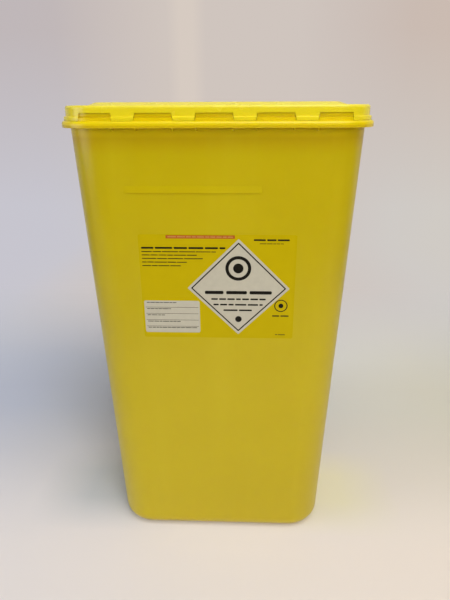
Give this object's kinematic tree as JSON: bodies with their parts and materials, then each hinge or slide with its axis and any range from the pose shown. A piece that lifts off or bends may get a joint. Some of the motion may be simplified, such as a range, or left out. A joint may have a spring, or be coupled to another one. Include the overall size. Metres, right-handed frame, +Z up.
{
  "type": "medical waste box",
  "caption": "Tall tapered plastic container with rounded corners, a flanged rim and a push-fit lid with a windowed skirt, for clinical waste.",
  "frame": {"origin": "middle of the container's base, on the surface it stands on", "axes": "+Z up, -Y out of the labelled front, +X to the right of someone facing the front"},
  "size_m": [0.4, 0.3, 0.676],
  "materials": {
    "tub_plastic": "glossy moulded polypropylene, yellow",
    "lid_plastic": "glossy moulded polypropylene, yellow",
    "seal_rubber": "soft matt elastomer, light grey",
    "label_film": "printed self-adhesive film, satin"
  },
  "bodies": {
    "tub_body": {"tub": "tub_plastic", "front_label": "label_film"},
    "lid_body": {"lid": "lid_plastic", "lid_seal": "seal_rubber"}
  },
  "joints": [
    {"name": "lid_lift", "type": "slide", "parent": "tub_body", "child": "lid_body", "axis": [0, 0, 1], "range_m": [0, 0.15]}
  ]
}
